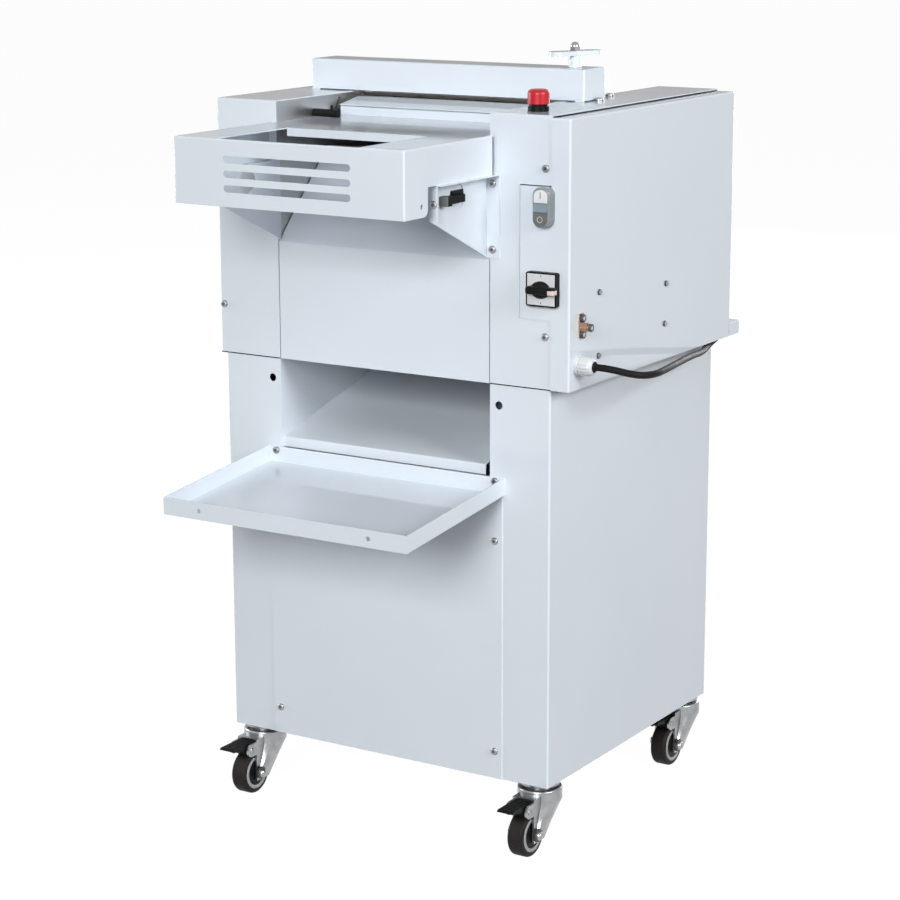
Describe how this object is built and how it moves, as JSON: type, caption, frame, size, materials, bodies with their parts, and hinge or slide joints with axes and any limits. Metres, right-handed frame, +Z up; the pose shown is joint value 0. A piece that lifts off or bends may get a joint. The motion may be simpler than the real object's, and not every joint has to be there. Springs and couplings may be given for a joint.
{
  "type": "bread moulder",
  "caption": "Free-standing bread moulder on braked casters, with infeed table, adjustable rolls under a beam, discharge chute and tray, and switches on the side housing.",
  "frame": {"origin": "on the floor under the middle of the outer box, cord left out", "axes": "+X to the operator's right, towards the switches; +Y to the back; +Z up"},
  "size_m": [0.6999, 0.941, 1.1574],
  "materials": {
    "white_paint": "glossy powder coat",
    "steel": "ground",
    "zinc": "bright zinc",
    "dark_bolt": "blackened",
    "brass": "turned",
    "cast_iron": "painted casting",
    "grey_paint": "satin",
    "felt": "woven felt",
    "black_rubber": "satin",
    "black_plastic": "fine grain",
    "red_plastic": "gloss",
    "smoke_plastic": "soft translucent",
    "white_plastic": "gloss",
    "dark_plastic": "satin",
    "grey_plastic": "satin",
    "wheel_rubber": "worn rubber"
  },
  "bodies": {
    "cabinet": {"base_side_panels": "white_paint", "base_rear_and_floor": "white_paint", "base_front_panel": "white_paint", "chute": "white_paint", "discharge_tray": "white_paint", "left_cover": "white_paint", "right_column": "white_paint", "right_cover": "white_paint", "front_cover": "white_paint", "back_cover": "white_paint", "beam_cover": "white_paint", "infeed_table": "white_paint", "infeed_brackets": "white_paint", "feed_ramp": "white_paint", "frame_plates": "steel", "pressure_board": "steel", "drive_chain": "steel", "screws": "zinc", "caster_rings": "zinc", "side_bolts": "dark_bolt", "earth_terminal": "brass", "bearings": "cast_iron", "motor": "grey_paint", "moulding_belt": "felt", "drive_belt": "black_rubber", "power_cord": "black_rubber", "cord_coil": "black_rubber", "interlock_switch": "black_plastic", "stop_bar": "black_plastic", "estop_base": "black_plastic", "switch_plate": "black_plastic", "power_plug": "black_plastic", "cord_tie": "black_plastic", "button_housing": "smoke_plastic", "control_panel": "grey_plastic", "cable_gland": "grey_plastic", "cord_clip": "grey_plastic"},
    "drive_drum": {"drive_drum": "steel"},
    "idler_drum": {"idler_drum": "steel"},
    "lower_roll": {"lower_roll": "steel"},
    "upper_roll": {"upper_roll": "steel"},
    "roll_yoke": {"roll_yoke": "steel"},
    "handwheel": {"handwheel": "white_paint"},
    "motor_pulley": {"motor_pulley": "steel"},
    "estop_button": {"estop_button": "red_plastic"},
    "start_button": {"start_button": "white_plastic"},
    "stop_button": {"stop_button": "dark_plastic"},
    "switch_knob": {"switch_knob": "black_plastic"},
    "front_left_fork": {"front_left_fork": "zinc"},
    "front_left_wheel": {"front_left_wheel": "wheel_rubber"},
    "front_left_pedal": {"front_left_pedal": "black_plastic"},
    "front_right_fork": {"front_right_fork": "zinc"},
    "front_right_wheel": {"front_right_wheel": "wheel_rubber"},
    "front_right_pedal": {"front_right_pedal": "black_plastic"},
    "rear_left_fork": {"rear_left_fork": "zinc"},
    "rear_left_wheel": {"rear_left_wheel": "wheel_rubber"},
    "rear_left_pedal": {"rear_left_pedal": "black_plastic"},
    "rear_right_fork": {"rear_right_fork": "zinc"},
    "rear_right_wheel": {"rear_right_wheel": "wheel_rubber"},
    "rear_right_pedal": {"rear_right_pedal": "black_plastic"}
  },
  "joints": [
    {"name": "drive_drum_spin", "type": "hinge", "parent": "cabinet", "child": "drive_drum", "pos_m": [0, 0.005, 0.86], "axis": [1, 0, 0], "continuous": true},
    {"name": "idler_drum_spin", "type": "hinge", "parent": "cabinet", "child": "idler_drum", "pos_m": [0, 0.255, 0.86], "axis": [1, 0, 0], "continuous": true},
    {"name": "lower_roll_spin", "type": "hinge", "parent": "cabinet", "child": "lower_roll", "pos_m": [0, 0.0865, 1.026], "axis": [1, 0, 0], "continuous": true},
    {"name": "upper_roll_spin", "type": "hinge", "parent": "roll_yoke", "child": "upper_roll", "pos_m": [0, 0.0865, 1.081], "axis": [1, 0, 0], "continuous": true},
    {"name": "motor_spin", "type": "hinge", "parent": "cabinet", "child": "motor_pulley", "pos_m": [0.216, 0.005, 0.2], "axis": [1, 0, 0], "continuous": true},
    {"name": "handwheel_turn", "type": "hinge", "parent": "cabinet", "child": "handwheel", "pos_m": [0.167, 0.0865, 1.138], "axis": [0, 0, 1], "range_deg": [-1440, 0]},
    {"name": "roll_lift", "type": "slide", "parent": "cabinet", "child": "roll_yoke", "axis": [0, 0, 1], "range_m": [0, 0.008]},
    {"name": "estop_press", "type": "slide", "parent": "cabinet", "child": "estop_button", "axis": [0, 0, -1], "range_m": [0, 0.0035], "stiffness_N_per_m": 600},
    {"name": "start_press", "type": "slide", "parent": "cabinet", "child": "start_button", "axis": [0, 1, 0], "range_m": [0, 0.003], "stiffness_N_per_m": 400},
    {"name": "stop_press", "type": "slide", "parent": "cabinet", "child": "stop_button", "axis": [0, 1, 0], "range_m": [0, 0.003], "stiffness_N_per_m": 400},
    {"name": "switch_turn", "type": "hinge", "parent": "cabinet", "child": "switch_knob", "pos_m": [0.2514, -0.153, 0.8355], "axis": [0, 1, 0], "range_deg": [0, 90]},
    {"name": "front_left_swivel", "type": "hinge", "parent": "cabinet", "child": "front_left_fork", "pos_m": [-0.267, -0.112, 0.096], "axis": [0, 0, 1], "continuous": true},
    {"name": "front_left_roll", "type": "hinge", "parent": "front_left_fork", "child": "front_left_wheel", "pos_m": [-0.267, -0.153, 0.034], "axis": [1, 0, 0], "continuous": true},
    {"name": "front_left_brake", "type": "hinge", "parent": "front_left_fork", "child": "front_left_pedal", "pos_m": [-0.267, -0.172, 0.075], "axis": [1, 0, 0], "range_deg": [0, 12]},
    {"name": "front_right_swivel", "type": "hinge", "parent": "cabinet", "child": "front_right_fork", "pos_m": [0.229, -0.112, 0.096], "axis": [0, 0, 1], "continuous": true},
    {"name": "front_right_roll", "type": "hinge", "parent": "front_right_fork", "child": "front_right_wheel", "pos_m": [0.229, -0.153, 0.034], "axis": [1, 0, 0], "continuous": true},
    {"name": "front_right_brake", "type": "hinge", "parent": "front_right_fork", "child": "front_right_pedal", "pos_m": [0.229, -0.172, 0.075], "axis": [1, 0, 0], "range_deg": [0, 12]},
    {"name": "rear_left_swivel", "type": "hinge", "parent": "cabinet", "child": "rear_left_fork", "pos_m": [-0.267, 0.338, 0.096], "axis": [0, 0, 1], "continuous": true},
    {"name": "rear_left_roll", "type": "hinge", "parent": "rear_left_fork", "child": "rear_left_wheel", "pos_m": [-0.267, 0.297, 0.034], "axis": [1, 0, 0], "continuous": true},
    {"name": "rear_left_brake", "type": "hinge", "parent": "rear_left_fork", "child": "rear_left_pedal", "pos_m": [-0.267, 0.278, 0.075], "axis": [1, 0, 0], "range_deg": [0, 12]},
    {"name": "rear_right_swivel", "type": "hinge", "parent": "cabinet", "child": "rear_right_fork", "pos_m": [0.229, 0.338, 0.096], "axis": [0, 0, 1], "continuous": true},
    {"name": "rear_right_roll", "type": "hinge", "parent": "rear_right_fork", "child": "rear_right_wheel", "pos_m": [0.229, 0.297, 0.034], "axis": [1, 0, 0], "continuous": true},
    {"name": "rear_right_brake", "type": "hinge", "parent": "rear_right_fork", "child": "rear_right_pedal", "pos_m": [0.229, 0.278, 0.075], "axis": [1, 0, 0], "range_deg": [0, 12]}
  ],
  "couplings": [
    {"joint": "idler_drum_spin", "follows": "drive_drum_spin", "ratio": 1},
    {"joint": "lower_roll_spin", "follows": "drive_drum_spin", "ratio": 1},
    {"joint": "motor_spin", "follows": "drive_drum_spin", "ratio": 3.2727},
    {"joint": "handwheel_turn", "follows": "roll_lift", "rad_per_m": -3141.6}
  ]
}
